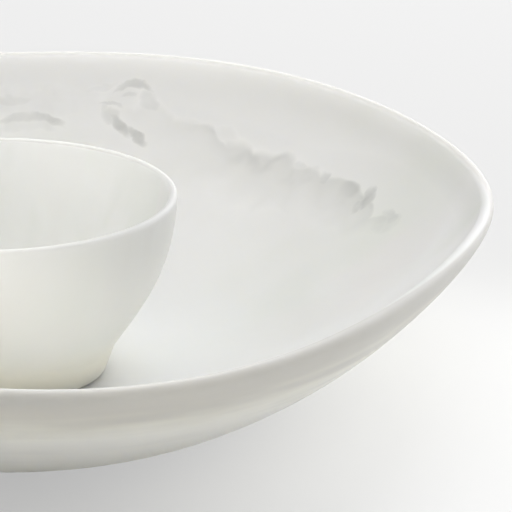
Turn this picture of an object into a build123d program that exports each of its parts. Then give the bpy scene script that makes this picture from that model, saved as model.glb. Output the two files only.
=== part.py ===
"""Chip and dip server: a wide soft-cornered chip bowl with a round dip bowl standing in its middle.

Both bowls are thick castings with full-round lips. Each stands on small soft bumpers set into its
underside. Millimetres, +Z up. The origin is on the table, under the middle of the server.
"""
from build123d import *
import os
from math import cos, sin, tan, radians, tau

# --- Chip bowl: outline and rim ---
chip_rim_radius = 177.6         # mean radius where the outside wall meets the lip
chip_rim_height = 64.3          # mean height of that line above the table
chip_oval = 7.8                 # how much further the bowl reaches to front and back than on average
chip_corner = 3.6               # how much further its four soft corners reach than on average
chip_corner_angle = 21.5        # direction of the first corner, from +X
rim_rise = 2.8                  # how far the rim climbs above its mean height at its four crests
rim_crest_angle = 59.0          # direction of the first crest, from +X

# --- Chip bowl: wall and base ---
chip_lip_thickness = 5.2        # wall at the full-round lip
chip_floor_thickness = 7.6      # wall at the flat floor
chip_base_radius = 59.0         # where the flat base turns into the belly
chip_belly_run = 51.0           # how far the belly keeps the flat base's direction
chip_lip_angle = 71.0           # slope of the wall where it meets the lip
chip_lip_run = 17.0             # how far the wall keeps that slope below the lip
chip_ring_width = 16.0          # ring that the base stands on
chip_recess_depth = 1.8         # hollow under the base, inside that ring

# --- Dip bowl ---
dip_rim_radius = 63.6           # where the outside wall meets the lip
dip_rim_height = 59.8           # that line's height above the foot's underside
dip_lip_thickness = 2.9
dip_rim_angle = 86.5            # slope of the wall at the lip
dip_rim_run = 23.6              # how far the wall keeps that slope below the lip
dip_neck_radius = 42.6          # where the wall turns into the foot
dip_wall_angle = 54.7           # slope of the wall where it leaves the foot
dip_wall_run = 19.8             # how far the wall keeps that slope
dip_neck_fillet = 3.0
dip_foot_height = 9.7
dip_foot_taper = 3.5            # how far the foot draws in from the neck to where it stands
dip_ring_width = 11.0           # ring that the foot stands on
dip_recess_depth = 1.6          # hollow under the foot, inside that ring
dip_floor_thickness = 5.8       # from the foot's underside to the inside floor
dip_floor_radius = 20.0         # flat part of the inside floor
dip_floor_run = 20.0            # how far the inside keeps the floor's direction before it climbs

# --- Soft bumpers in round pockets ---
chip_bumper_count = 4
chip_bumper_radius = 5.0
chip_bumper_depth = 1.6         # part that sits in its pocket
chip_bumper_stand = 1.2         # part that stands out below the base
chip_bumper_angle = 45.0        # direction of the first one, from +X
dip_bumper_count = 3
dip_bumper_radius = 3.2
dip_bumper_depth = 1.0
dip_bumper_stand = 0.5
dip_bumper_angle = 90.0
bumper_clearance = 0.15         # round each bumper in its pocket
bumper_edge_fillet = 0.3        # softened edge that each bumper stands on

# --- Undersides of both bowls ---
recess_taper = 35.0             # how far the wall of each hollow leans in, in degrees
underside_fillet = 0.6          # softened edges of the rings that the bowls stand on

# --- Fits ---
seat_clearance = 0.3            # between the dip bowl's bumpers and the chip bowl's floor

# --- Places that follow from the sizes above ---
chip_base_height = chip_bumper_stand
chip_floor_height = chip_base_height + chip_floor_thickness
chip_ring_inner_radius = chip_base_radius - chip_ring_width
chip_bumper_circle = chip_base_radius - chip_ring_width / 2
dip_base_height = chip_floor_height + seat_clearance + dip_bumper_stand
dip_foot_radius = dip_neck_radius - dip_foot_taper
dip_ring_inner_radius = dip_foot_radius - dip_ring_width
dip_bumper_circle = dip_foot_radius - dip_ring_width / 2

# --- How finely the free-form skin is laid out ---
wave_count = 4                  # soft corners, and crests of the rim
ring_points = 6 * wave_count    # points that carry the waves round each closed curve
wall_steps = 14                 # steps up each wall, closing up towards the lip
lip_steps = 8                   # steps over the lip


def bowl_ring(radius, height):
    """Closed curve round the chip bowl through the point (radius, height) of its mean section.

    The outline's reach grows evenly from the base outwards and the rim's climb with the square of
    that, so the base and the floor stay round and flat.
    """
    share = (radius - chip_base_radius) / (chip_rim_radius - chip_base_radius)
    points = []
    for index in range(ring_points):
        angle = tau * index / ring_points
        corner = chip_corner * cos(wave_count * (angle - radians(chip_corner_angle)))
        climb = rim_rise * cos(wave_count * (angle - radians(rim_crest_angle)))
        reach = radius + share * (corner - chip_oval * cos(2 * angle))
        points.append(Vector(reach * cos(angle), reach * sin(angle), height + share**2 * climb))
    marks = range(ring_points + 1)
    return Wire([Edge.make_spline(points, periodic=True, parameters=marks)])


def full_round(end, way, thickness):
    """Half circle over a wall of this thickness, from the end of its outside, which runs along way."""
    across = way.rotate(Axis.Z, 90)
    return ThreePointArc(end, end + (across + way) * (thickness / 2), end + across * thickness)


def make_bumper(name, angle, circle, low, radius, height):
    """One soft bumper: a short disc with a softened lower edge, standing at the height low."""
    place = Plane((circle * cos(angle), circle * sin(angle), low))
    with BuildPart() as bumper:
        with BuildSketch(place):
            Circle(radius)
        extrude(amount=height)
        fillet(bumper.faces().sort_by(Axis.Z)[0].edges(), bumper_edge_fillet)
    bumper.part.label = name
    export_step(bumper.part, f"parts/{name}.step")


os.makedirs("parts", exist_ok=True)

# --- Chip bowl ---
# The mean section's outside wall and the lip that closes over it; the inside wall lies behind them.
chip_lean = Vector(cos(radians(chip_lip_angle)), sin(radians(chip_lip_angle)))
chip_rim = Vector(chip_rim_radius, chip_rim_height)
with BuildLine():
    chip_wall = Bezier(
        (chip_base_radius, chip_base_height),
        (chip_base_radius + chip_belly_run, chip_base_height),
        chip_rim - chip_lean * chip_lip_run,
        chip_rim,
    )
    chip_lip = full_round(chip_rim, chip_lean, chip_lip_thickness)

outside_rings = []
inside_rings = []
for step in range(wall_steps + 1):
    station = sin(tau / 4 * step / wall_steps)
    outside = chip_wall @ station
    uphill = chip_wall % station
    wall = chip_floor_thickness + (chip_lip_thickness - chip_floor_thickness) * station
    outside_rings.append(bowl_ring(outside.X, outside.Y))
    inside_rings.append(bowl_ring(outside.X - wall * uphill.Y, outside.Y + wall * uphill.X))

lip_rings = [outside_rings[-1]]
for step in range(1, lip_steps):
    point = chip_lip @ (step / lip_steps)
    lip_rings.append(bowl_ring(point.X, point.Y))
lip_rings.append(inside_rings[-1])

# The bowl's skin is three lofts that meet where the lip starts, closed by the flat base and floor.
skin = [Face(outside_rings[0]), Face(inside_rings[0])]
for rings in (outside_rings, lip_rings, inside_rings):
    skin += Shell.make_loft(rings).faces()

with BuildPart() as chip_bowl:
    add(Solid(Shell(skin)))
    with BuildSketch(Plane.XY.offset(chip_base_height)):
        Circle(chip_ring_inner_radius)
    extrude(amount=chip_recess_depth, taper=recess_taper, mode=Mode.SUBTRACT)
    fillet(chip_bowl.edges(Select.LAST), underside_fillet)
    with BuildSketch(Plane.XY.offset(chip_base_height)):
        with PolarLocations(chip_bumper_circle, chip_bumper_count, chip_bumper_angle):
            Circle(chip_bumper_radius + bumper_clearance)
    extrude(amount=chip_bumper_depth, mode=Mode.SUBTRACT)
chip_bowl.part.label = "chip_bowl"
export_step(chip_bowl.part, "parts/chip_bowl.step")

# --- Dip bowl ---
foot_lean = Vector(cos(radians(dip_wall_angle)), sin(radians(dip_wall_angle)))
rim_lean = Vector(cos(radians(dip_rim_angle)), sin(radians(dip_rim_angle)))
dip_neck = Vector(dip_neck_radius, dip_base_height + dip_foot_height)
dip_rim = Vector(dip_rim_radius, dip_base_height + dip_rim_height)
dip_floor_height = dip_base_height + dip_floor_thickness
dip_recess_height = dip_base_height + dip_recess_depth
dip_recess_radius = dip_ring_inner_radius - dip_recess_depth * tan(radians(recess_taper))

with BuildPart() as dip_bowl:
    with BuildSketch(Plane.XZ):
        with BuildLine():
            Polyline(
                (0, dip_recess_height),
                (dip_recess_radius, dip_recess_height),
                (dip_ring_inner_radius, dip_base_height),
                (dip_foot_radius, dip_base_height),
                dip_neck,
            )
            Bezier(
                dip_neck,
                dip_neck + foot_lean * dip_wall_run,
                dip_rim - rim_lean * dip_rim_run,
                dip_rim,
            )
            dip_lip = full_round(dip_rim, rim_lean, dip_lip_thickness)
            Bezier(
                dip_lip @ 1,
                dip_lip @ 1 - rim_lean * dip_rim_run,
                (dip_floor_radius + dip_floor_run, dip_floor_height),
                (dip_floor_radius, dip_floor_height),
            )
            Polyline(
                (dip_floor_radius, dip_floor_height),
                (0, dip_floor_height),
                (0, dip_recess_height),
            )
        make_face()
    revolve(axis=Axis.Z)
    circles = dip_bowl.edges().filter_by(GeomType.CIRCLE)
    fillet(circles.filter_by(lambda edge: abs(edge.radius - dip_neck_radius) < 0.01), dip_neck_fillet)
    fillet(circles.group_by(Axis.Z)[0], underside_fillet)
    with BuildSketch(Plane.XY.offset(dip_base_height)):
        with PolarLocations(dip_bumper_circle, dip_bumper_count, dip_bumper_angle):
            Circle(dip_bumper_radius + bumper_clearance)
    extrude(amount=dip_bumper_depth, mode=Mode.SUBTRACT)
dip_bowl.part.label = "dip_bowl"
export_step(dip_bowl.part, "parts/dip_bowl.step")

# --- Bumpers ---
for index in range(chip_bumper_count):
    make_bumper(
        f"chip_bumper_{index + 1}",
        radians(chip_bumper_angle) + tau * index / chip_bumper_count,
        chip_bumper_circle,
        0,
        chip_bumper_radius,
        chip_bumper_stand + chip_bumper_depth,
    )
for index in range(dip_bumper_count):
    make_bumper(
        f"dip_bumper_{index + 1}",
        radians(dip_bumper_angle) + tau * index / dip_bumper_count,
        dip_bumper_circle,
        dip_base_height - dip_bumper_stand,
        dip_bumper_radius,
        dip_bumper_stand + dip_bumper_depth,
    )
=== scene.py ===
"""Chip and dip server in swirled cast resin, modelled and finished for Blender 4.5.

The packed solids give every place and size. Both bowls and their soft bumpers are modelled again
here with finer surfaces, finished with procedural resin, and set on a pale studio floor.
"""

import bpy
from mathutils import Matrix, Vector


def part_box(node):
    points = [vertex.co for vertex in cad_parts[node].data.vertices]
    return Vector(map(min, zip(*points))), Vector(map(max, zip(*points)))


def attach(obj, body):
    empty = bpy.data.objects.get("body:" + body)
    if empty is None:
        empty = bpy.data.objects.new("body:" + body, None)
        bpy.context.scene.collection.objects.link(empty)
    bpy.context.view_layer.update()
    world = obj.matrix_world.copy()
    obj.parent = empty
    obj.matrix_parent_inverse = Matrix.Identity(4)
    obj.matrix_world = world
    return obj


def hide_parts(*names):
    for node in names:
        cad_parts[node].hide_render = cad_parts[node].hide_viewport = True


bl_info = {
    "name": "Chip and Dip Server",
    "version": (1, 0, 0),
    "blender": (4, 5, 0),
    "location": "3D View > Sidebar > Server",
    "description": "Models a cast resin chip bowl with its dip bowl, and sets a studio stage",
    "category": "Object",
}

from copy import copy
from math import cos, pi, radians, sin, tau

import bpy
import numpy as np
from bpy.props import FloatProperty, FloatVectorProperty, IntProperty, PointerProperty
from mathutils import Matrix, Vector

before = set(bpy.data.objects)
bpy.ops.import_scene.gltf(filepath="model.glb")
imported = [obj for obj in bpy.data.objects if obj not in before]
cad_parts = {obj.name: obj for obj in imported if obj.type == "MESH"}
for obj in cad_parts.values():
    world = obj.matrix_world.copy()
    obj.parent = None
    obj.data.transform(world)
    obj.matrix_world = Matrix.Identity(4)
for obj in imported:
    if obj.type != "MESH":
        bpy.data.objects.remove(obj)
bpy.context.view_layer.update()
CHIP_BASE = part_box("chip_bowl")[0].z
DIP_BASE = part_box("dip_bowl")[0].z
CHIP_BUMPERS = [name for name in sorted(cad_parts) if name.startswith("chip_bumper")]
DIP_BUMPERS = [name for name in sorted(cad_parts) if name.startswith("dip_bumper")]

MM = 0.001
MERGE_GAP = 0.01 * MM       # vertices closer than this are one
LAMP_DISTANCE = 2.2         # from the lamps to the middle of the server
WAVE_COUNT = 4              # soft corners, and crests of the rim
CHIP_WALL_STEPS = 60        # facets up the chip bowl's wall
CHIP_LIP_STEPS = 14         # facets over its lip
DIP_WALL_STEPS = 36
DIP_LIP_STEPS = 12
EDGE_STEPS = 4              # facets over each softened edge
NECK_STEPS = 5              # facets over the dip bowl's softened neck
POCKET_SIDES = 48
BUMPER_SIDES = 64
WANDER_WAVES = 9            # waves that make up the walls' wander
SHARP_EDGE = radians(35)    # edges that turn by more than this stay sharp
LINE_START = 0.545          # lowest course of the vein line up the wall, beside the middle
LINE_SLOPE = 0.7            # how much further up it runs for each metre towards the back


# --- Settings that a user would change ---


def length(name, description, default):
    """A size in metres."""
    return FloatProperty(
        name=name, description=description, default=default, min=0.0, unit="LENGTH", precision=4
    )


def angle(name, description, degrees):
    """An angle, written in degrees."""
    return FloatProperty(
        name=name, description=description, default=radians(degrees), unit="ROTATION"
    )


def share(name, description, default):
    """A number from 0 to 1."""
    return FloatProperty(
        name=name, description=description, default=default, min=0.0, max=1.0, subtype="FACTOR"
    )


def colour(name, description, default):
    """A linear colour."""
    return FloatVectorProperty(
        name=name, description=description, default=default, min=0.0, max=1.0, subtype="COLOR"
    )


def level(name, description, default):
    """A level of light, where 1 is white."""
    return FloatProperty(name=name, description=description, default=default, min=0.0)


def power(name, description, default):
    """A lamp's power in watts."""
    return FloatProperty(
        name=name, description=description, default=default, min=0.0, unit="POWER"
    )


class ChipBowlSizes(bpy.types.PropertyGroup):
    """Shape of the wide outer bowl."""

    rim_radius: length("Rim radius", "Mean radius where the outside wall meets the lip", 177.6 * MM)
    rim_height: length("Rim height", "Mean height of that line above the table", 64.3 * MM)
    oval: length("Oval", "How much further the bowl reaches to front and back", 7.8 * MM)
    corner: length("Corner", "How much further its four soft corners reach", 3.6 * MM)
    corner_angle: angle("Corner angle", "Direction of the first corner, from +X", 21.5)
    rim_rise: length("Rim rise", "How far the rim climbs at its four crests", 2.8 * MM)
    crest_angle: angle("Crest angle", "Direction of the first crest, from +X", 59.0)
    lip_thickness: length("Lip thickness", "Wall at the rounded lip", 5.2 * MM)
    floor_thickness: length("Floor thickness", "Wall at the flat floor", 7.6 * MM)
    base_radius: length("Base radius", "Where the flat base turns into the belly", 59.0 * MM)
    belly_run: length("Belly run", "How far the belly keeps the flat base's direction", 51.0 * MM)
    lip_angle: angle("Lip angle", "Slope of the wall where it meets the lip", 71.0)
    lip_run: length("Lip run", "How far the wall keeps that slope below the lip", 17.0 * MM)
    ring_width: length("Ring width", "Ring that the base stands on", 16.0 * MM)
    recess_depth: length("Recess depth", "Hollow under the base, inside that ring", 1.8 * MM)
    steps: IntProperty(name="Steps", description="Facets round the bowl", default=320, min=32)


class DipBowlSizes(bpy.types.PropertyGroup):
    """Shape of the round bowl in the middle."""

    rim_radius: length("Rim radius", "Where the outside wall meets the lip", 63.6 * MM)
    rim_height: length("Rim height", "That line's height above the foot's underside", 59.8 * MM)
    lip_thickness: length("Lip thickness", "Wall at the rounded lip", 2.9 * MM)
    rim_angle: angle("Rim angle", "Slope of the wall at the lip", 86.5)
    rim_run: length("Rim run", "How far the wall keeps that slope below the lip", 23.6 * MM)
    neck_radius: length("Neck radius", "Where the wall turns into the foot", 42.6 * MM)
    neck_softening: length("Neck softening", "How far the neck's corner is rounded", 1.6 * MM)
    wall_angle: angle("Wall angle", "Slope of the wall where it leaves the foot", 54.7)
    wall_run: length("Wall run", "How far the wall keeps that slope", 19.8 * MM)
    foot_height: length("Foot height", "Height of the foot", 9.7 * MM)
    foot_taper: length("Foot taper", "How far the foot draws in towards the table", 3.5 * MM)
    ring_width: length("Ring width", "Ring that the foot stands on", 11.0 * MM)
    recess_depth: length("Recess depth", "Hollow under the foot, inside that ring", 1.6 * MM)
    floor_thickness: length("Floor thickness", "From the foot's underside to the floor", 5.8 * MM)
    floor_radius: length("Floor radius", "Flat part of the inside floor", 20.0 * MM)
    floor_run: length("Floor run", "How far the inside keeps the floor's direction", 20.0 * MM)
    steps: IntProperty(name="Steps", description="Facets round the bowl", default=192, min=32)


class CastingDetails(bpy.types.PropertyGroup):
    """Details that both bowls and their bumpers share."""

    recess_slope: angle("Recess slope", "How far the wall of each hollow leans in", 35.0)
    underside_rounding: length("Underside rounding", "Softened edges of the rings", 0.6 * MM)
    bumper_clearance: length("Bumper clearance", "Gap round each bumper in its pocket", 0.15 * MM)
    bumper_rounding: length("Bumper rounding", "Softened edge of each bumper", 0.3 * MM)
    bumper_dimple: length("Bumper dimple", "Faint hollow under each bumper", 0.08 * MM)
    unevenness: length("Unevenness", "How far the hand-poured walls wander", 0.25 * MM)
    wander_size: length("Wander size", "Usual length of that wander's waves", 90 * MM)


class ResinColours(bpy.types.PropertyGroup):
    """Colours of the cast resin and the bumpers, and of the shade and glow painted on the resin."""

    white: colour("White", "Body of the resin", (0.975, 0.975, 0.962))
    cool_cloud: colour("Cool cloud", "Faint greenish clouds", (0.885, 0.908, 0.855))
    warm_cloud: colour("Warm cloud", "Faint pinkish clouds", (0.925, 0.90, 0.888))
    # The vein grey also paints shade under the chip bowl's rim and on its lip.
    vein: colour("Vein", "Smoke-grey veins", (0.41, 0.42, 0.435))
    # Painted light: a warm tint low on the chip bowl's outside, for light glowing through the
    # resin.
    painted_glow: colour("Cream", "Outside of the chip bowl, low down", (0.98, 0.972, 0.865))
    # Painted shade: a warm darkening round the dip bowl's foot, where it meets the chip bowl's
    # floor.
    painted_foot_shade: colour("Honey", "Tinge round the dip bowl's foot", (0.87, 0.82, 0.71))
    # Painted shade: a grey that darkens the bowls' outsides up to their lips, and parts of the
    # lips, where little light falls.
    painted_shade: colour("Stone", "Outside of both bowls, up to their lips", (0.60, 0.592, 0.570))
    bumper: colour("Bumper", "Clear soft bumpers", (0.80, 0.82, 0.81))
    bumper_haze: colour("Bumper haze", "Cloudy parts of the bumpers", (0.66, 0.68, 0.67))
    # Painted light: a brighter white band above the vein line at the back, for light glowing
    # through the rim.
    clear: colour("Clear", "Clear white above the vein line, at the back", (1.0, 1.0, 0.99))
    vein_strength: share("Vein strength", "How much of the vein colour shows", 0.85)


class ResinFinish(bpy.types.PropertyGroup):
    """How light travels in the resin, and how smooth its surface is."""

    translucency: share("Translucency", "How much of the light travels inside the resin", 0.93)
    glow_depth: length("Glow depth", "How far that light travels", 23 * MM)
    glow_tint: colour("Glow tint", "Share of that depth for each colour", (1.0, 0.97, 0.88))
    gloss: share("Gloss", "Strength of the sheen on the surface", 0.12)
    roughness: share("Roughness", "Roughness where the surface is smoothest", 0.44)
    roughness_range: share("Roughness range", "How much rougher it gets in patches", 0.14)
    ripple_depth: length("Ripple depth", "Height of its faint ripples", 0.6 * MM)


class StageSetup(bpy.types.PropertyGroup):
    """Camera, floor and light."""

    camera_distance: length("Camera distance", "From the camera to the server", 1.911)
    camera_rise: angle("Camera rise", "Height of the view above the horizon", 17.89)
    look_height: length("Look height", "Height of the point that the view circles", 0.060)
    look_right: length("Look right", "How far right of the middle the camera aims", 0.0898)
    look_down: length("Look down", "How far below that point the camera aims", 0.0123)
    lens: FloatProperty(name="Lens", description="Focal length in millimetres", default=400.0)
    floor_size: length("Floor size", "Side of the square floor", 12.0)
    floor_colour: colour("Floor colour", "Pale studio floor", (0.96, 0.96, 0.96))
    backdrop_colour: colour("Backdrop colour", "Floor and backdrop as seen", (0.72, 0.72, 0.72))
    # Painted light: a paler pool on the floor at the front right.
    light_pool_colour: colour("Near colour", "The same, at the front right", (0.98, 0.98, 0.98))
    light_pool_right: length("Near right", "How far right of the middle that paler part lies", 0.24)
    light_pool_front: length("Near front", "How far in front of the middle it lies", 0.10)
    floor_paleness: share("Floor paleness", "How much of that tone shows through shadows", 0.63)
    sky_colour: colour("Sky colour", "Soft light from all round", (1.0, 0.995, 0.985))
    sky_strength: level("Sky strength", "Level of that light", 0.20)
    key_power: power("Key power", "Soft lamp low behind the server, to the right", 41.5)
    key_size: length("Key size", "Side of that lamp", 1.8)
    key_rise: angle("Key rise", "Height of that lamp above the horizon", 31.0)
    key_side: angle("Key side", "Direction of that lamp, from +X towards +Y", 50.0)
    fill_power: power("Fill power", "Soft lamp high behind the server", 24.3)
    fill_size: length("Fill size", "Side of that lamp", 1.8)
    fill_rise: angle("Fill rise", "Height of that lamp above the horizon", 68.0)
    fill_side: angle("Fill side", "Direction of that lamp, from +X towards +Y", 75.0)


# --- Modelling ---


def only(piece):
    """Selects this piece alone and makes it active."""
    bpy.ops.object.select_all(action="DESELECT")
    piece.select_set(True)
    bpy.context.view_layer.objects.active = piece


def select_points(piece, chosen):
    """Selects the vertices whose places pass the test, then opens the piece for editing."""
    only(piece)
    bpy.context.tool_settings.mesh_select_mode = (True, False, False)
    for edge in piece.data.edges:
        edge.select = False
    for face in piece.data.polygons:
        face.select = False
    for vertex in piece.data.vertices:
        vertex.select = chosen(vertex.co)
    bpy.ops.object.mode_set(mode="EDIT")


def settle(piece):
    """Puts the piece's place into its mesh, with its object at the origin."""
    only(piece)
    bpy.ops.object.transform_apply(location=True, rotation=True, scale=True)


def close_edit(piece):
    """Leaves edit mode, with the piece's object at the origin."""
    bpy.ops.object.mode_set(mode="OBJECT")
    settle(piece)
    return piece


def bezier(handles, part):
    """Place and direction at this part of a cubic curve."""
    start, leave, arrive, end = handles
    rest = 1 - part
    place = start * rest**3 + leave * (3 * rest**2 * part)
    place += arrive * (3 * rest * part**2) + end * part**3
    way = (leave - start) * rest**2 + (arrive - leave) * (2 * rest * part)
    way += (end - arrive) * part**2
    return place, way.normalized()


def full_round(end, way, thickness, steps):
    """Half circle over a wall of this thickness, without its two ends."""
    across = way.orthogonal()
    points = []
    for step in range(1, steps):
        turn = pi * step / steps
        points.append(end + (across * (1 - cos(turn)) + way * sin(turn)) * (thickness / 2))
    return points


def direction(slope):
    """Unit direction in a section, leaning this far up from level."""
    return Vector((cos(slope), sin(slope)))


def draw_section(name, points, corners, rounding):
    """Draws half a section as a chain of edges, and rounds the corners named by their number."""
    bpy.ops.object.select_all(action="DESELECT")
    start = points[0]
    bpy.ops.mesh.primitive_plane_add(size=1 * MM, location=(start.x, 0, start.y))
    piece = bpy.context.object
    piece.name = piece.data.name = name
    bpy.ops.object.mode_set(mode="EDIT")
    bpy.context.tool_settings.mesh_select_mode = (True, False, False)
    bpy.ops.mesh.select_all(action="SELECT")
    bpy.ops.mesh.merge(type="CENTER")
    for here, there in zip(points, points[1:]):
        step = there - here
        bpy.ops.mesh.extrude_vertices_move(TRANSFORM_OT_translate={"value": (step.x, 0, step.y)})
    close_edit(piece)
    places = [Vector((points[number].x, 0, points[number].y)) for number in corners]
    select_points(piece, lambda co: any((co - place).length < MERGE_GAP for place in places))
    bpy.ops.mesh.bevel(offset=rounding, segments=EDGE_STEPS, affect="VERTICES")
    return close_edit(piece)


def spin_section(piece, steps):
    """Spins a section round the upright axis into a closed casting."""
    only(piece)
    bpy.ops.object.mode_set(mode="EDIT")
    bpy.ops.mesh.select_all(action="SELECT")
    bpy.ops.mesh.spin(steps=steps, angle=tau, center=(0, 0, 0), axis=(0, 0, 1))
    bpy.ops.mesh.select_all(action="SELECT")
    bpy.ops.mesh.remove_doubles(threshold=MERGE_GAP)
    bpy.ops.mesh.normals_make_consistent(inside=False)
    return close_edit(piece)


def places_of(piece):
    """The piece's vertices as an array."""
    places = np.empty(len(piece.data.vertices) * 3)
    piece.data.vertices.foreach_get("co", places)
    return places.reshape(-1, 3)


def move_to(piece, places):
    """Moves the piece's vertices to these places."""
    piece.data.vertices.foreach_set("co", places.ravel())
    piece.data.update()


def mark_wall(piece, outside, lip, inside):
    """Stores on each vertex how far up the wall it is, and how much it faces outwards.

    outside and inside are the wall's points from the base up, and lip the points between them.
    """
    places = places_of(piece)
    radius = np.hypot(places[:, 0], places[:, 1])
    section = np.array([*outside, *lip, *inside])
    up = np.linspace(0, 1, len(outside))
    climb = np.concatenate([up, np.ones(len(lip)), up])
    facing = np.concatenate(
        [np.ones(len(outside)), np.linspace(1, 0, len(lip)), np.zeros(len(inside))]
    )
    # Vertices on one level ring share a section point, so each ring is looked up once.
    rings, ring_of = np.unique(
        np.round(np.column_stack([radius, places[:, 2]]), 6), axis=0, return_inverse=True
    )
    gaps = np.linalg.norm(rings[:, None] - section[None], axis=2)
    nearest = np.argmin(gaps, axis=1)[ring_of.ravel()]
    for name, values in (("climb", climb), ("outside", facing)):
        attribute = piece.data.attributes.new(name, "FLOAT", "POINT")
        attribute.data.foreach_set("value", values[nearest].astype(np.float32))


def soft_noise(places, size, seed):
    """Slow smooth waves of about this size, from -1 to 1, from a few seeded directions."""
    random = np.random.default_rng(seed)
    total = np.zeros(len(places))
    # Each wave has a length of its own, from 0.7 to 1.6 times the size.
    for _ in range(WANDER_WAVES):
        way = random.normal(size=3)
        way *= tau / (size * random.uniform(0.7, 1.6) * np.linalg.norm(way))
        total += np.sin(places @ way + random.uniform(0, tau))
    return total * 2 / WANDER_WAVES


def cut_pockets(piece, bumpers, clearance):
    """Cuts the round pockets that these bumpers sit in."""
    cutters = []
    for name in bumpers:
        low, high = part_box(name)
        bpy.ops.object.select_all(action="DESELECT")
        bpy.ops.mesh.primitive_cylinder_add(
            vertices=POCKET_SIDES,
            radius=(high.x - low.x) / 2 + clearance,
            depth=high.z - low.z,
            location=(low + high) / 2,
        )
        cutters.append(bpy.context.object)
    for cutter in cutters:
        cutter.select_set(True)
    bpy.ops.object.join()
    cutter = bpy.context.object
    only(piece)
    pocket = piece.modifiers.new("pockets", "BOOLEAN")
    pocket.operation = "DIFFERENCE"
    pocket.solver = "EXACT"
    pocket.object = cutter
    bpy.ops.object.modifier_apply(modifier=pocket.name)
    bpy.data.objects.remove(cutter)


def smooth(piece):
    """Shades the piece smooth, apart from its true edges."""
    only(piece)
    bpy.ops.object.shade_smooth_by_angle(angle=SHARP_EDGE)


def dress(piece, node, body, material):
    """Gives a finished piece its material, hides its CAD node, and hangs it from its body."""
    piece.data.materials.clear()
    piece.data.materials.append(material)
    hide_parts(node)
    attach(piece, body)


def chip_walls(sizes):
    """Outside and inside of the chip bowl's mean wall, each from the base up, and its lip."""
    lean = direction(sizes.lip_angle)
    base = Vector((sizes.base_radius, CHIP_BASE))
    rim = Vector((sizes.rim_radius, sizes.rim_height))
    handles = (base, base + Vector((sizes.belly_run, 0)), rim - lean * sizes.lip_run, rim)
    outside, inside = [], []
    for step in range(CHIP_WALL_STEPS + 1):
        part = step / CHIP_WALL_STEPS
        place, way = bezier(handles, part)
        wall = sizes.floor_thickness + (sizes.lip_thickness - sizes.floor_thickness) * part
        outside.append(place)
        inside.append(place + way.orthogonal() * wall)
    return outside, inside, full_round(rim, lean, sizes.lip_thickness, CHIP_LIP_STEPS)


def wave_chip_bowl(sizes, places):
    """Gives turned places the chip bowl's soft corners and climbing rim."""
    radius = np.hypot(places[:, 0], places[:, 1])
    turn = np.arctan2(places[:, 1], places[:, 0])
    part = (radius - sizes.base_radius) / (sizes.rim_radius - sizes.base_radius)
    part = np.maximum(part, 0)
    corner = sizes.corner * np.cos(WAVE_COUNT * (turn - sizes.corner_angle))
    climb = sizes.rim_rise * np.cos(WAVE_COUNT * (turn - sizes.crest_angle))
    reach = radius + part * (corner - sizes.oval * np.cos(2 * turn))
    height = places[:, 2] + part**2 * climb
    return np.column_stack([reach * np.cos(turn), reach * np.sin(turn), height])


def model_chip_bowl(sizes, details):
    """The wide bowl: a spun section, waved into its free outline, with pockets for bumpers."""
    outside, inside, lip = chip_walls(sizes)
    base, floor = CHIP_BASE, inside[0].y
    ring_inner = sizes.base_radius - sizes.ring_width
    recess = ring_inner - sizes.recess_depth * np.tan(details.recess_slope)
    underside = [
        Vector((0, base + sizes.recess_depth)),
        Vector((recess, base + sizes.recess_depth)),
        Vector((ring_inner, base)),
    ]
    section = [*underside, *outside, *lip, *reversed(inside), Vector((0, floor))]
    piece = draw_section("cast_chip_bowl", section, (1, 2), details.underside_rounding)
    spin_section(piece, sizes.steps)
    mark_wall(piece, outside, lip, inside)
    places = places_of(piece)
    part = np.hypot(places[:, 0], places[:, 1]) / sizes.rim_radius
    # The wander starts half way out and fades again towards the lip.
    share_of_wander = np.clip((part - 0.5) * 3, 0, 1) * np.clip((1 - part) * 8, 0, 1)
    places = wave_chip_bowl(sizes, places)
    wander = soft_noise(places, details.wander_size, seed=4)
    places[:, 2] += details.unevenness * share_of_wander * wander
    move_to(piece, places)
    cut_pockets(piece, CHIP_BUMPERS, details.bumper_clearance)
    smooth(piece)
    return piece


def model_dip_bowl(sizes, details):
    """The round bowl: a spun section with a drawn-in foot and pockets for bumpers."""
    base = DIP_BASE
    foot_radius = sizes.neck_radius - sizes.foot_taper
    ring_inner = foot_radius - sizes.ring_width
    recess = ring_inner - sizes.recess_depth * np.tan(details.recess_slope)
    neck = Vector((sizes.neck_radius, base + sizes.foot_height))
    rim = Vector((sizes.rim_radius, base + sizes.rim_height))
    rim_lean = direction(sizes.rim_angle)
    wall_lean = direction(sizes.wall_angle)
    floor = Vector((sizes.floor_radius, base + sizes.floor_thickness))
    lip_end = rim + rim_lean.orthogonal() * sizes.lip_thickness
    outer = (neck, neck + wall_lean * sizes.wall_run, rim - rim_lean * sizes.rim_run, rim)
    inner = (
        floor,
        floor + Vector((sizes.floor_run, 0)),
        lip_end - rim_lean * sizes.rim_run,
        lip_end,
    )
    parts = [step / DIP_WALL_STEPS for step in range(DIP_WALL_STEPS + 1)]
    outside = [bezier(outer, part)[0] for part in parts]
    inside = [bezier(inner, part)[0] for part in parts]
    underside = [
        Vector((0, base + sizes.recess_depth)),
        Vector((recess, base + sizes.recess_depth)),
        Vector((ring_inner, base)),
        Vector((foot_radius, base)),
    ]
    lip = full_round(rim, rim_lean, sizes.lip_thickness, DIP_LIP_STEPS)
    section = [*underside, *outside, *lip, *reversed(inside), Vector((0, floor.y))]
    piece = draw_section("cast_dip_bowl", section, (1, 2, 3), details.underside_rounding)
    select_points(piece, lambda co: (co - Vector((neck.x, 0, neck.y))).length < MERGE_GAP)
    bpy.ops.mesh.bevel(offset=sizes.neck_softening, segments=NECK_STEPS, affect="VERTICES")
    close_edit(piece)
    spin_section(piece, sizes.steps)
    mark_wall(piece, outside, lip, inside)
    cut_pockets(piece, DIP_BUMPERS, details.bumper_clearance)
    smooth(piece)
    return piece


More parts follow.
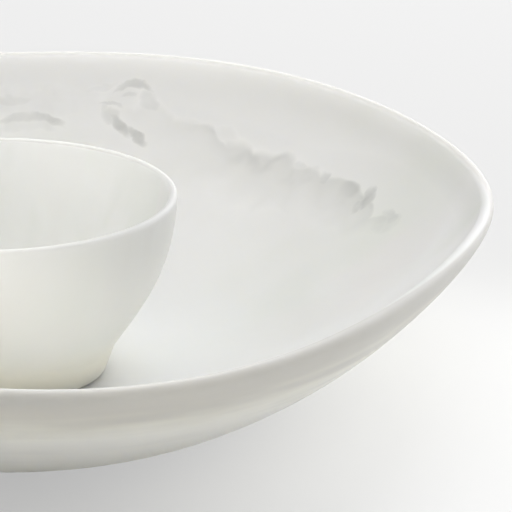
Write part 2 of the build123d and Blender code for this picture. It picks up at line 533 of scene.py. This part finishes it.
def model_bumper(name, node, details):
    """One bumper at the node's place: a short soft disc with a rounded edge and a faint dimple."""
    low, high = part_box(node)
    radius = (high.x - low.x) / 2
    bpy.ops.object.select_all(action="DESELECT")
    bpy.ops.mesh.primitive_cylinder_add(
        vertices=BUMPER_SIDES, radius=radius, depth=high.z - low.z, location=(low + high) / 2
    )
    piece = bpy.context.object
    piece.name = piece.data.name = name
    settle(piece)
    select_points(piece, lambda co: co.z < low.z + MERGE_GAP)
    bpy.ops.mesh.bevel(offset=details.bumper_rounding, segments=EDGE_STEPS, affect="EDGES")
    close_edit(piece)
    select_points(piece, lambda co: co.z < low.z + MERGE_GAP)
    bpy.ops.mesh.inset(thickness=radius * 0.4)
    bpy.ops.transform.translate(value=(0, 0, details.bumper_dimple))
    close_edit(piece)
    smooth(piece)
    return piece


def model_bumpers(group, nodes, details):
    """Models one bumper and copies it to the place of each node."""
    first = model_bumper(f"{group}_1", nodes[0], details)
    pieces = [first]
    start = sum(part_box(nodes[0]), Vector()) / 2
    for number, node in enumerate(nodes[1:], 2):
        twin = first.copy()
        twin.data = first.data.copy()
        twin.name = twin.data.name = f"{group}_{number}"
        bpy.context.collection.objects.link(twin)
        twin.data.transform(Matrix.Translation(sum(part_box(node), Vector()) / 2 - start))
        pieces.append(twin)
    return pieces


# --- Materials ---


def connect(node, sockets):
    """Sets or links the node's sockets."""
    for name, value in sockets.items():
        if isinstance(value, Signal):
            value.tree.links.new(value.socket, node.inputs[name])
        else:
            node.inputs[name].default_value = value


class Signal:
    """A socket in a tree of shader nodes, used in sums and products like a number."""

    def __init__(self, tree, socket=None):
        self.tree = tree
        self.socket = socket

    def node(self, kind, settings=None, sockets=None, output=0):
        """Adds any node: its settings first, then the values or links of its sockets."""
        node = self.tree.nodes.new(kind)
        for name, value in (settings or {}).items():
            setattr(node, name, value)
        connect(node, sockets or {})
        return Signal(self.tree, node.outputs[output])

    def of(self, node):
        """The first output of a node that is there already."""
        return Signal(self.tree, node.outputs[0])

    def place(self):
        """Where a point is, in the piece's own coordinates."""
        return self.node("ShaderNodeTexCoord", output="Object")

    def attribute(self, name):
        """A number that is stored on the vertices."""
        return self.node("ShaderNodeAttribute", {"attribute_name": name}, output="Fac")

    def finish(self, surface):
        """Gives the surface to the tree's output, which is added if it has none."""
        nodes = self.tree.nodes
        outputs = [node for node in nodes if node.bl_idname.startswith("ShaderNodeOutput")]
        if not outputs:
            outputs = [nodes.new("ShaderNodeOutputWorld")]
        self.tree.links.new(surface.socket, outputs[0].inputs["Surface"])

    def math(self, operation, first, second=0.0):
        """Arithmetic on one or two numbers."""
        return self.node("ShaderNodeMath", {"operation": operation}, {0: first, 1: second})

    def __add__(self, other):
        return self.math("ADD", self, other)

    def __sub__(self, other):
        return self.math("SUBTRACT", self, other)

    def __rsub__(self, other):
        return self.math("SUBTRACT", other, self)

    def __mul__(self, other):
        return self.math("MULTIPLY", self, other)

    def __abs__(self):
        return self.math("ABSOLUTE", self)

    __radd__ = __add__
    __rmul__ = __mul__

    def above(self, other):
        """The larger of the two."""
        return self.math("MAXIMUM", self, other)

    def fade(self, low, high):
        """Rises smoothly from 0 at low to 1 at high, or falls where low is the larger."""
        if low > high:
            return 1 - self.fade(high, low)
        settings = {"interpolation_type": "SMOOTHSTEP"}
        sockets = {"Value": self, "From Min": low, "From Max": high}
        return self.node("ShaderNodeMapRange", settings, sockets)

    def blend(self, first, second):
        """Mixes two colours by this share of the second."""
        first, second = [
            tone if isinstance(tone, Signal) else (*tone, 1) for tone in (first, second)
        ]
        return self.node("ShaderNodeMix", {"data_type": "RGBA"}, {0: self, 6: first, 7: second}, 2)

    def shift(self, operation, first, second):
        """Vector arithmetic."""
        return self.node("ShaderNodeVectorMath", {"operation": operation}, {0: first, 1: second})

    def noise(self, place, scale, detail=2.0, output=0):
        """Soft noise with this many features to the metre."""
        sockets = {"Vector": place, "Scale": scale, "Detail": detail}
        return self.node("ShaderNodeTexNoise", None, sockets, output)

    def warp(self, place, scale, reach):
        """Pushes places about by up to this reach, in swirls with this many to the metre."""
        push = self.shift("SUBTRACT", self.noise(place, scale, output=1), (0.5, 0.5, 0.5))
        return self.shift("ADD", place, self.shift("MULTIPLY", push, (reach * 2,) * 3))

    def axes(self, place):
        """The three parts of a vector."""
        parts = self.tree.nodes.new("ShaderNodeSeparateXYZ")
        connect(parts, {0: place})
        return [Signal(self.tree, output) for output in parts.outputs]


def new_material(name):
    """An empty material with a Principled shader, its tree as a Signal, and the shader."""
    material = bpy.data.materials.new(name)
    material.use_nodes = True
    tree = material.node_tree
    tree.nodes.clear()
    start = Signal(tree)
    shader = tree.nodes.new("ShaderNodeBsdfPrincipled")
    output = tree.nodes.new("ShaderNodeOutputMaterial")
    tree.links.new(shader.outputs["BSDF"], output.inputs["Surface"])
    return material, start, shader


class Stroke:
    """One soft smear of vein on the chip bowl's inside wall.

    turn is its direction round the bowl from +X, climb how far up the wall it is (0 to 1), run and
    breadth its half lengths, tilt how far its left end lifts, and arch how far its ends drop.
    Lengths are in millimetres and angles in degrees.
    """

    depth = 12 * MM             # how far its mask reaches through the wall

    def __init__(self, turn, climb, run, breadth, tilt=0, arch=0, strength=1.0):
        self.turn = radians(turn)
        self.climb = climb
        self.run = run * MM
        self.breadth = breadth * MM
        self.tilt = radians(tilt)
        self.arch = arch / breadth
        self.strength = strength

    def moved(self, turn, climb, strength):
        """The same smear, further round and up the bowl."""
        twin = copy(self)
        twin.turn += radians(turn)
        twin.climb += climb
        twin.strength *= strength
        return twin

    def place_on(self, sizes):
        """Where the stroke lies on the inside wall, and how it is turned there."""
        ahead = 0.01            # a short way on, round the bowl or up its wall
        points = []
        _, inside, _ = chip_walls(sizes)
        for turn, climb in ((0, 0), (ahead, 0), (0, ahead)):
            step = (self.climb + climb) * (len(inside) - 1)
            low = inside[int(step)]
            spot = low.lerp(inside[int(step) + 1], step - int(step))
            way = self.turn + turn
            flat = np.array([[spot.x * cos(way), spot.x * sin(way), spot.y]])
            points.append(Vector(wave_chip_bowl(sizes, flat)[0]))
        middle, beside, uphill = points
        along = (beside - middle).normalized()
        up = (uphill - middle).normalized()
        out = along.cross(up).normalized()
        up = out.cross(along)
        turned = Matrix((along, up, out)).transposed() @ Matrix.Rotation(self.tilt, 3, "Z")
        return middle, turned.to_euler()

    def mask(self, start, place, sizes):
        """How much of the smear shows at a place."""
        middle, turned = self.place_on(sizes)
        sockets = {
            "Vector": place,
            "Location": middle,
            "Rotation": turned,
            "Scale": (self.run, self.breadth, self.depth),
        }
        local = start.node("ShaderNodeMapping", {"vector_type": "TEXTURE"}, sockets)
        along, up, out = start.axes(local)
        up = up + along * along * self.arch
        return (along * along + up * up + out * out).fade(1.1, 0.05) * self.strength


# A curled wisp: nested arcs over a dark eye, with a tail that falls away to the right.
WISP = (
    Stroke(-0.9, 0.847, run=10, breadth=2.0, arch=5.5, strength=0.6),
    Stroke(3.0, 0.832, run=8, breadth=1.8, tilt=-16, strength=0.25),
    Stroke(0.4, 0.80, run=11, breadth=7, arch=4, strength=0.22),
    Stroke(-3.6, 0.785, run=8, breadth=2.6, tilt=42, arch=1, strength=0.38),
    Stroke(1.6, 0.772, run=7.5, breadth=1.3, arch=2.5, strength=0.5),
    Stroke(-0.4, 0.808, run=4.5, breadth=1.3, arch=0.8, strength=0.4),
    Stroke(2.3, 0.745, run=5, breadth=1.5, tilt=70, arch=1, strength=0.35),
    Stroke(1.1, 0.722, run=5.5, breadth=4.6, tilt=62, strength=0.55),
    Stroke(-0.2, 0.692, run=9, breadth=2.7, tilt=46, strength=0.85),
    Stroke(-3.0, 0.660, run=8.5, breadth=2.5, tilt=36, strength=0.95),
)
# Single smears of the veins round the bowl.
SMEARS = (
    Stroke(84.6, 0.712, run=15, breadth=3.3, arch=6, strength=0.70),
    Stroke(84.8, 0.694, run=13, breadth=5.0, arch=5, strength=0.36),
    Stroke(83.8, 0.711, run=6, breadth=3.2, tilt=8, arch=1, strength=0.8),
    Stroke(81.9, 0.700, run=7, breadth=2.5, tilt=24, strength=0.65),
    Stroke(85, 0.757, run=30, breadth=8.5, arch=2, strength=0.27),
    Stroke(87, 0.777, run=10, breadth=3.4, arch=1, strength=0.42),
    Stroke(57, 0.70, run=8, breadth=4.5, arch=3, strength=0.22),
    Stroke(43, 0.66, run=7, breadth=3.6, arch=3, strength=0.45),
    Stroke(40.5, 0.655, run=7, breadth=5.5, arch=4, strength=0.35),
    Stroke(38, 0.655, run=5, breadth=2.6, tilt=62, strength=0.6),
    Stroke(34.5, 0.655, run=6.5, breadth=4.6, arch=3, strength=0.65),
    Stroke(28.4, 0.658, run=8, breadth=3.6, tilt=62, arch=-1.2, strength=1.0),
    Stroke(28.8, 0.632, run=4.5, breadth=3.8, tilt=55, strength=0.85),
    Stroke(21, 0.660, run=9, breadth=4.0, tilt=12, arch=4, strength=0.65),
    Stroke(20, 0.632, run=9.5, breadth=9, strength=0.52),
)
# Where the wisp curls round the bowl: direction, how much higher it lies, and its strength.
WISP_PLACES = ((72.5, 0, 1.0), (197, -0.03, 0.8), (305, -0.08, 0.7))


# In all the masks below, x, y and z are metres from the origin, and climb is the share of the way
# up the wall.


def clouded(start, place, colours):
    """Body of the resin: white with faint greenish and pinkish clouds."""
    drift = start.warp(place, 22.0, 9 * MM)
    cool = start.noise(start.shift("ADD", drift, (0.31, 0.17, 0.53)), 13.0).fade(0.42, 0.66)
    warm = start.noise(drift, 17.0).fade(0.50, 0.72)
    tone = cool.blend(colours.white, colours.cool_cloud)
    return (warm * 0.8).blend(tone, colours.warm_cloud)


def poured_lines_and_painted_shade(start, place, climb, colours):
    """Level pouring lines a few millimetres apart, over painted shade high on the outside and a
    painted warm glow low down.
    """
    x, y, _ = start.axes(place)
    lines = start.noise(start.shift("MULTIPLY", place, (14.0, 14.0, 120.0)), 1.0)
    # The outside is painted darker high up and warmer low down, as shade and glow, with the pouring
    # lines between them.
    rise = (climb + (lines - 0.5) * 0.28).fade(0.62, 0.94)
    painted_shade_and_glow = rise.blend(colours.painted_glow, colours.painted_shade)
    # Painted shade makes the rim darker at the back and left, and some pouring lines are a little
    # darker than the rest.
    rim = climb.fade(0.90, 1.0) * y.fade(0.02, 0.10).above(x.fade(0.06, 0.0)) * 0.34
    return (lines.fade(0.50, 0.72) * 0.08).above(rim).blend(painted_shade_and_glow, colours.vein)


def veins(start, place, climb, outside, sizes):
    """How much vein and painted shade show on the inside, and how much painted bright white.

    A wavering line has a soft wash below it, a painted bright band above it at the back, and smears
    along it.
    """
    x, y, _ = start.axes(place)
    # Noise on flattened places changes round the bowl, but little up its steep wall.
    flat = start.shift("MULTIPLY", start.warp(place, 60.0, 4 * MM), (1, 1, 0))
    # The line climbs towards the back, and its upper edge swells into rounded lobes.
    lobes = abs(start.noise(flat, 42.0, detail=1.0) - 0.5) * 0.20
    lift = y * LINE_SLOPE + y.fade(0.126, 0.138) * 0.032 + y.fade(0.146, 0.160) * 0.04
    gap = climb - (start.noise(flat, 20.0) * 0.08 + lobes + lift + LINE_START)
    # The wash is weak and the dark edge gone near the middle, and the front right has neither.
    wash = gap.fade(0.020, -0.016) * gap.fade(-0.26, 0.0)
    crest = gap.fade(0.012, -0.010) * gap.fade(-0.075, -0.005)
    crest = crest * x.fade(0.068, 0.088).above(x.fade(-0.035, -0.055))
    patches = start.noise(flat, 70.0).fade(0.46, 0.66)
    wash = wash * (x.fade(0.030, 0.100).above(x.fade(-0.02, -0.05)) * 0.75 + 0.25)
    shade = wash * (start.noise(flat, 9.0) * 0.46 + 0.24) + crest * (patches * 0.24 + 0.05)
    shade = shade * y.fade(0.025, 0.07).above(x.fade(0.02, -0.06))
    # Painted shade: a faint grey under the rim on the right, on the wall below it, and on the lip.
    haze_and_painted_shade = climb.fade(0.64, 0.92) * x.fade(0.02, 0.13) * 0.42
    haze_and_painted_shade = haze_and_painted_shade.above(x.fade(0.065, 0.11) * y.fade(0.13, 0.08) * 0.27)
    haze_and_painted_shade = haze_and_painted_shade.above(outside.fade(0.0, 0.15) * (y.fade(0.04, 0.12) * 0.22 + 0.32))
    vein = shade.above(haze_and_painted_shade)
    curl = start.warp(start.warp(place, 95.0, 3.4 * MM), 260.0, 1.0 * MM)
    strokes = list(SMEARS)
    for turn, higher, strength in WISP_PLACES:
        strokes += [stroke.moved(turn, higher, strength) for stroke in WISP]
    smoke = start.noise(start.warp(place, 45.0, 8 * MM), 60.0, detail=4.0).fade(0.25, 0.75)
    grain = smoke * 0.55 + 0.6
    for stroke in strokes:
        vein = vein.above(stroke.mask(start, curl, sizes) * grain)
    # The second share is painted light: a brighter band just above the line, at the back.
    return vein, gap.fade(-0.01, 0.02) * gap.fade(0.26, 0.12) * y.fade(0.05, 0.11)


def veins_lines_and_painted_light(start, place, climb, outside, tone, colours, sizes):
    """Turns the body's tone into the chip bowl's: veins and a painted bright band on its inside,
    pouring lines and painted shade on its outside.
    """
    x, y, _ = start.axes(place)
    # The painted shade of the outside reaches a third of the way over the lip, and most of the way
    # at the back and left.
    further = (x + y).fade(0.10, -0.06).above(y.fade(-0.03, 0.05)) * 0.5
    reach = (outside + further).fade(0.55, 0.75)
    vein, pale = veins(start, place, climb, outside, sizes)
    # Painted light: the band above the vein line is whitened.
    tone = pale.blend(tone, colours.clear)
    tone = reach.blend(tone, poured_lines_and_painted_shade(start, place, climb, colours))
    # The vein grey carries both the real veins and the painted shade under the rim.
    return (vein * (1 - reach) * colours.vein_strength).blend(tone, colours.vein)


def streaks_and_painted_shade(start, place, outside, tone, colours):
    """Turns the body's tone into the dip bowl's: upright streaks, with painted shade on its outside
    and a warm painted shade round its foot.
    """
    x, y, z = start.axes(place)
    streaks = start.noise(start.shift("MULTIPLY", place, (55.0, 55.0, 9.0)), 1.0, detail=3.0)
    tone = (streaks.fade(0.50, 0.66) * 0.55).blend(tone, colours.warm_cloud)
    tone = (streaks.fade(0.48, 0.34) * 0.60).blend(tone, colours.cool_cloud)
    # Painted shade: the outside is greyer, most of all on the left, and the lip is so at the back.
    shade = outside.fade(0.0, 0.4) * (x.fade(0.05, -0.02) * 0.24 + 0.57)
    shade = shade.above(outside.fade(0.0, 0.15) * y.fade(0.0, 0.05))
    tone = shade.blend(tone, colours.painted_shade)
    # Painted shade, warm, round the foot where it stands in the chip bowl.
    return (z.fade(32 * MM, 8 * MM) * outside * 0.9).blend(tone, colours.painted_foot_shade)


def swirled_resin(name, colours, finish, sizes=None):
    """Cast resin: with streaks for the dip bowl, or veins for a chip bowl of these sizes, and
    painted shade on both, with a painted glow on the chip bowl.
    """
    material, start, shader = new_material(name)
    place = start.place()
    climb, outside = start.attribute("climb"), start.attribute("outside")
    # Low down on the wall the body is greener.
    tone = (climb.fade(0.55, 0.15) * 0.7).blend(clouded(start, place, colours), colours.cool_cloud)
    if sizes:
        tone = veins_lines_and_painted_light(start, place, climb, outside, tone, colours, sizes)
    else:
        tone = streaks_and_painted_shade(start, place, outside, tone, colours)
    # Faint ripples, with fine pores in them.
    height = start.noise(place, 55.0) + start.noise(place, 900.0, detail=1.0) * 0.02
    bump = {"Height": height, "Strength": 0.25, "Distance": finish.ripple_depth}
    connect(
        shader,
        {
            "Base Color": tone,
            "Roughness": start.noise(place, 30.0) * finish.roughness_range + finish.roughness,
            "Normal": start.node("ShaderNodeBump", None, bump),
            "Subsurface Weight": finish.translucency,
            "Subsurface Radius": finish.glow_tint,
            "Subsurface Scale": finish.glow_depth,
            "Specular IOR Level": finish.gloss,
        },
    )
    return material


def soft_bumper(name, colours):
    """Clear soft bumper, faintly hazed."""
    material, start, shader = new_material(name)
    place = start.place()
    haze_and_painted_shade = start.noise(place, 420.0, detail=3.0).fade(0.35, 0.7)
    grain = {"Height": start.noise(place, 2500.0), "Strength": 0.1, "Distance": 0.1 * MM}
    connect(
        shader,
        {
            "Base Color": haze_and_painted_shade.blend(colours.bumper, colours.bumper_haze),
            "Roughness": haze_and_painted_shade * 0.15 + 0.3,
            "Normal": start.node("ShaderNodeBump", None, grain),
            "Transmission Weight": 0.5,
            "IOR": 1.45,
        },
    )
    return material


# --- Operators ---


class SERVER_OT_chip_bowl(bpy.types.Operator):
    """Model the wide chip bowl and finish it in swirled resin"""

    bl_idname = "server.chip_bowl"
    bl_label = "Chip bowl"

    def execute(self, context):
        scene = context.scene
        piece = model_chip_bowl(scene.server_chip_bowl, scene.server_details)
        resin = swirled_resin(
            "swirled_resin", scene.server_colours, scene.server_finish, scene.server_chip_bowl
        )
        dress(piece, "chip_bowl", "chip_bowl", resin)
        return {"FINISHED"}


class SERVER_OT_dip_bowl(bpy.types.Operator):
    """Model the round dip bowl and finish it in clouded resin"""

    bl_idname = "server.dip_bowl"
    bl_label = "Dip bowl"

    def execute(self, context):
        scene = context.scene
        piece = model_dip_bowl(scene.server_dip_bowl, scene.server_details)
        resin = swirled_resin("clouded_resin", scene.server_colours, scene.server_finish)
        dress(piece, "dip_bowl", "dip_bowl", resin)
        return {"FINISHED"}


class SERVER_OT_bumpers(bpy.types.Operator):
    """Model the soft bumpers under both bowls"""

    bl_idname = "server.bumpers"
    bl_label = "Soft bumpers"

    def execute(self, context):
        scene = context.scene
        clear = soft_bumper("clear_bumper", scene.server_colours)
        groups = (("chip_foot", CHIP_BUMPERS, "chip_bowl"), ("dip_foot", DIP_BUMPERS, "dip_bowl"))
        for group, nodes, body in groups:
            for piece, node in zip(model_bumpers(group, nodes, scene.server_details), nodes):
                dress(piece, node, body, clear)
        return {"FINISHED"}


def seen_directly(start):
    """1 where the ray comes from the camera, a mirror or clear glass, and 0 for light itself."""
    rays = ("Is Camera Ray", "Is Glossy Ray", "Is Transmission Ray")
    camera, glossy, clear = [start.node("ShaderNodeLightPath", output=ray) for ray in rays]
    return camera.above(glossy).above(clear)


def add_lamp(name, power, size, rise, side):
    """A square soft lamp that faces the server from LAMP_DISTANCE."""
    way = Matrix.Rotation(side, 3, "Z") @ Vector((cos(rise), 0, sin(rise)))
    turned = (-way).to_track_quat("-Z", "Y").to_euler()
    bpy.ops.object.light_add(type="AREA", location=way * LAMP_DISTANCE, rotation=turned)
    lamp = bpy.context.object
    lamp.name = name
    lamp.data.energy = power
    lamp.data.size = size


def lay_floor(setup):
    """A wide plain floor, which shows the server's shadow on a pale tone of its own, with a painted
    pool of light at the front right.
    """
    bpy.ops.object.select_all(action="DESELECT")
    bpy.ops.mesh.primitive_plane_add(size=setup.floor_size)
    floor = bpy.context.object
    floor.name = "studio_floor"
    material, start, shader = new_material("studio_floor")
    place = start.place()
    darker = [tone * 0.99 for tone in setup.floor_colour]
    tone = start.noise(place, 1.5).blend(setup.floor_colour, darker)
    connect(shader, {"Base Color": tone, "Roughness": 0.9, "Specular IOR Level": 0.1})
    # A painted pool of light: the tone is paler round one place, and falls back to the backdrop's a
    # quarter of a metre on.
    x, y, _ = start.axes(place)
    right, front = x - setup.light_pool_right, y + setup.light_pool_front
    light_pool = (right * right + front * front).fade(0.060, 0.002)
    tone = light_pool.blend(setup.backdrop_colour, setup.light_pool_colour)
    pale = start.node("ShaderNodeEmission", None, {"Color": tone})
    sockets = {0: seen_directly(start) * setup.floor_paleness, 1: start.of(shader), 2: pale}
    start.finish(start.node("ShaderNodeMixShader", None, sockets))
    floor.data.materials.append(material)


def light_sky(setup):
    """Soft light from all round, which is seen directly as the backdrop's tone."""
    world = bpy.data.worlds.new("soft_sky")
    world.use_nodes = True
    world.node_tree.nodes.clear()
    start = Signal(world.node_tree)
    sockets = {"Color": (*setup.sky_colour, 1), "Strength": setup.sky_strength}
    sky = start.node("ShaderNodeBackground", None, sockets)
    pale = start.node("ShaderNodeBackground", None, {"Color": (*setup.backdrop_colour, 1)})
    sockets = {0: seen_directly(start), 1: sky, 2: pale}
    start.finish(start.node("ShaderNodeMixShader", None, sockets))
    return world


def aim_camera(setup):
    """A camera with a long lens, raised above the horizon and aimed beside the middle."""
    middle = Vector((0, 0, setup.look_height))
    back = Vector((0, -cos(setup.camera_rise), sin(setup.camera_rise)))
    up = Vector((0, sin(setup.camera_rise), cos(setup.camera_rise)))
    spot = middle + back * setup.camera_distance
    aim = middle + Vector((setup.look_right, 0, 0)) - up * setup.look_down
    turned = (aim - spot).to_track_quat("-Z", "Y").to_euler()
    bpy.ops.object.camera_add(location=spot, rotation=turned)
    camera = bpy.context.object
    camera.data.lens = setup.lens
    return camera


class SERVER_OT_stage(bpy.types.Operator):
    """Set the floor, the soft light and the camera"""

    bl_idname = "server.stage"
    bl_label = "Studio stage"

    def execute(self, context):
        setup = context.scene.server_stage
        lay_floor(setup)
        context.scene.world = light_sky(setup)
        add_lamp("key_lamp", setup.key_power, setup.key_size, setup.key_rise, setup.key_side)
        add_lamp("fill_lamp", setup.fill_power, setup.fill_size, setup.fill_rise, setup.fill_side)
        context.scene.camera = aim_camera(setup)
        context.scene.view_settings.view_transform = "Standard"
        return {"FINISHED"}


class SERVER_PT_sidebar(bpy.types.Panel):
    """Buttons and sizes for the server"""

    bl_idname = "SERVER_PT_sidebar"
    bl_label = "Chip and dip server"
    bl_space_type = "VIEW_3D"
    bl_region_type = "UI"
    bl_category = "Server"

    def draw(self, context):
        layout = self.layout
        for name in GROUPS:
            group = getattr(context.scene, name)
            box = layout.box()
            box.label(text=GROUPS[name].__doc__)
            for setting in GROUPS[name].__annotations__:
                box.prop(group, setting)
        for operator in OPERATORS:
            layout.operator(operator.bl_idname)


GROUPS = {
    "server_chip_bowl": ChipBowlSizes,
    "server_dip_bowl": DipBowlSizes,
    "server_details": CastingDetails,
    "server_colours": ResinColours,
    "server_finish": ResinFinish,
    "server_stage": StageSetup,
}
OPERATORS = (SERVER_OT_chip_bowl, SERVER_OT_dip_bowl, SERVER_OT_bumpers, SERVER_OT_stage)
CLASSES = (*GROUPS.values(), *OPERATORS, SERVER_PT_sidebar)


def register():
    """Adds the sizes, the operators and the panel to Blender."""
    for cls in CLASSES:
        bpy.utils.register_class(cls)
    for name, group in GROUPS.items():
        setattr(bpy.types.Scene, name, PointerProperty(type=group))


def unregister():
    """Takes them away again."""
    for name in GROUPS:
        delattr(bpy.types.Scene, name)
    for cls in reversed(CLASSES):
        bpy.utils.unregister_class(cls)


def main():
    """Models the server piece by piece, then sets the stage."""
    register()
    bpy.ops.server.chip_bowl()
    bpy.ops.server.dip_bowl()
    bpy.ops.server.bumpers()
    bpy.ops.server.stage()


if __name__ == "__main__":
    main()
